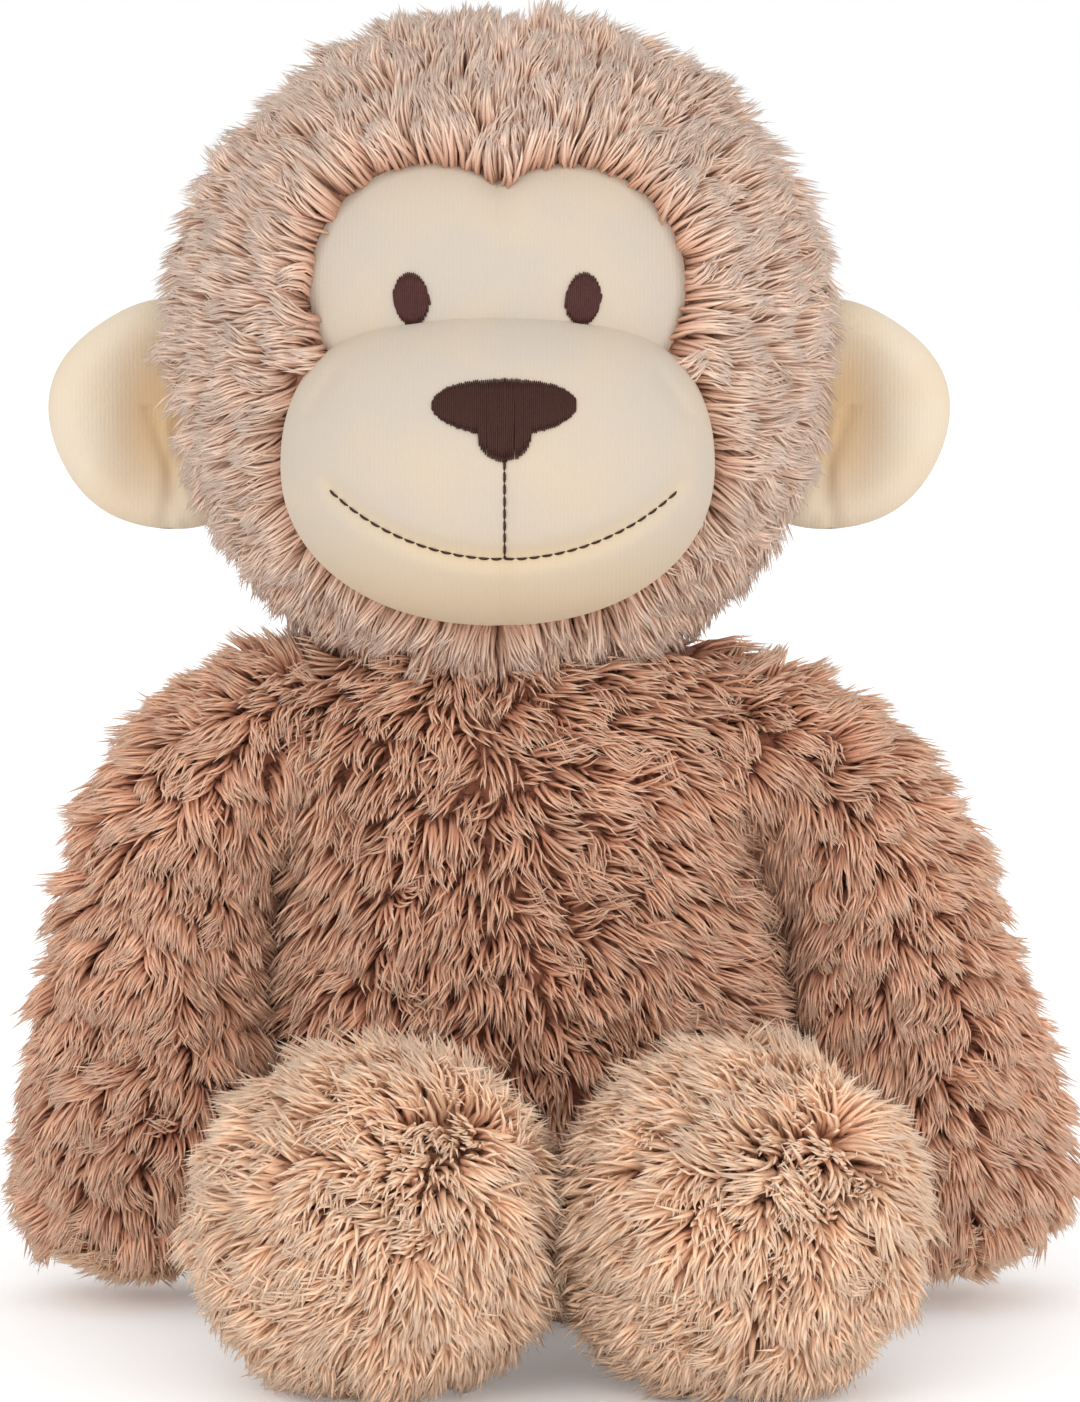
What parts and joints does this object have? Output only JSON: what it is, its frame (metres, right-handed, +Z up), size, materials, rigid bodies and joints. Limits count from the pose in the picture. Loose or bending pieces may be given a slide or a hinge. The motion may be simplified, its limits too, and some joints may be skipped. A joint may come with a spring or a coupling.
{
  "type": "stuffed monkey",
  "caption": "Seated soft toy monkey with long shaggy fur, smooth cream muzzle, eye patch and round ears, embroidered eyes, nose and smile, and hanging arms.",
  "frame": {"origin": "middle of the seat's underside, on the surface the toy sits on", "axes": "+Z up, -Y the way the toy faces, +X towards the toy's own left hand"},
  "size_m": [0.2309, 0.2525, 0.2815],
  "materials": {
    "tan_fur": "long shaggy pile",
    "head_fur": "long shaggy pile",
    "peach_fur": "long tangled pile",
    "cream_velour": "short knitted pile",
    "brown_thread": "satin stitch",
    "tan_thread": "hand stitching",
    "pouch_cloth": "plain woven",
    "polyester_fibre": "loose fibre"
  },
  "bodies": {
    "torso": {"torso_front": "tan_fur", "torso_back_left": "tan_fur", "torso_back_right": "tan_fur", "seat_panel": "tan_fur", "closing_seam": "tan_thread", "torso_stuffing": "polyester_fibre", "bean_pouch": "pouch_cloth"},
    "neck": {"neck_tube": "tan_fur", "neck_stuffing": "polyester_fibre"},
    "head": {"head_front_left": "head_fur", "head_front_right": "head_fur", "head_back_left": "head_fur", "head_back_right": "head_fur", "eye_patch": "cream_velour", "muzzle_left": "cream_velour", "muzzle_right": "cream_velour", "muzzle_stuffing": "polyester_fibre", "head_stuffing": "polyester_fibre", "eye_left": "brown_thread", "eye_right": "brown_thread", "nose": "brown_thread", "smile_stitch": "brown_thread", "lip_stitch": "brown_thread"},
    "tail": {"tail_casing": "tan_fur", "tail_stuffing": "polyester_fibre"},
    "ear_left": {"ear_front_left": "cream_velour", "ear_back_left": "cream_velour", "ear_padding_left": "polyester_fibre"},
    "arm_left": {"arm_front_left": "tan_fur", "arm_back_left": "tan_fur", "palm_left": "peach_fur", "arm_stuffing_left": "polyester_fibre"},
    "leg_left": {"leg_top_left": "tan_fur", "leg_bottom_left": "tan_fur", "leg_stuffing_left": "polyester_fibre"},
    "foot_left": {"foot_top_left": "peach_fur", "foot_sole_left": "peach_fur", "foot_stuffing_left": "polyester_fibre"},
    "ear_right": {"ear_front_right": "cream_velour", "ear_back_right": "cream_velour", "ear_padding_right": "polyester_fibre"},
    "arm_right": {"arm_front_right": "tan_fur", "arm_back_right": "tan_fur", "palm_right": "peach_fur", "arm_stuffing_right": "polyester_fibre"},
    "leg_right": {"leg_top_right": "tan_fur", "leg_bottom_right": "tan_fur", "leg_stuffing_right": "polyester_fibre"},
    "foot_right": {"foot_top_right": "peach_fur", "foot_sole_right": "peach_fur", "foot_stuffing_right": "polyester_fibre"}
  },
  "joints": [
    {"name": "head_turn", "type": "hinge", "parent": "torso", "child": "neck", "pos_m": [-0.013, 0, 0.141], "axis": [0, 0, 1], "range_deg": [-30, 30]},
    {"name": "head_nod", "type": "hinge", "parent": "neck", "child": "head", "pos_m": [-0.013, 0, 0.141], "axis": [1, 0, 0], "range_deg": [-15, 12]},
    {"name": "ear_left_fold", "type": "hinge", "parent": "head", "child": "ear_left", "pos_m": [0.052, 0, 0.196], "axis": [0, 0, -1], "range_deg": [-35, 35]},
    {"name": "ear_right_fold", "type": "hinge", "parent": "head", "child": "ear_right", "pos_m": [-0.08, 0, 0.196], "axis": [0, 0, 1], "range_deg": [-35, 35]},
    {"name": "shoulder_left_swing", "type": "hinge", "parent": "torso", "child": "arm_left", "pos_m": [0.0435, 0, 0.1195], "axis": [-1, 0, 0], "range_deg": [-35, 80]},
    {"name": "shoulder_right_swing", "type": "hinge", "parent": "torso", "child": "arm_right", "pos_m": [-0.0645, 0, 0.1235], "axis": [-1, 0, 0], "range_deg": [-35, 80]},
    {"name": "hip_left_swing", "type": "hinge", "parent": "torso", "child": "leg_left", "pos_m": [0.0265, -0.033, 0.023], "axis": [-1, 0, 0], "range_deg": [-60, 20]},
    {"name": "ankle_left_tilt", "type": "hinge", "parent": "leg_left", "child": "foot_left", "pos_m": [0.03275, -0.078, 0.027], "axis": [-1, 0, 0], "range_deg": [-12, 12]},
    {"name": "hip_right_swing", "type": "hinge", "parent": "torso", "child": "leg_right", "pos_m": [-0.0285, -0.033, 0.023], "axis": [-1, 0, 0], "range_deg": [-60, 20]},
    {"name": "ankle_right_tilt", "type": "hinge", "parent": "leg_right", "child": "foot_right", "pos_m": [-0.03475, -0.078, 0.027], "axis": [-1, 0, 0], "range_deg": [-12, 12]},
    {"name": "tail_swing", "type": "hinge", "parent": "torso", "child": "tail", "pos_m": [0, 0.043, 0.02], "axis": [0, 0, 1], "range_deg": [-25, 25]}
  ]
}
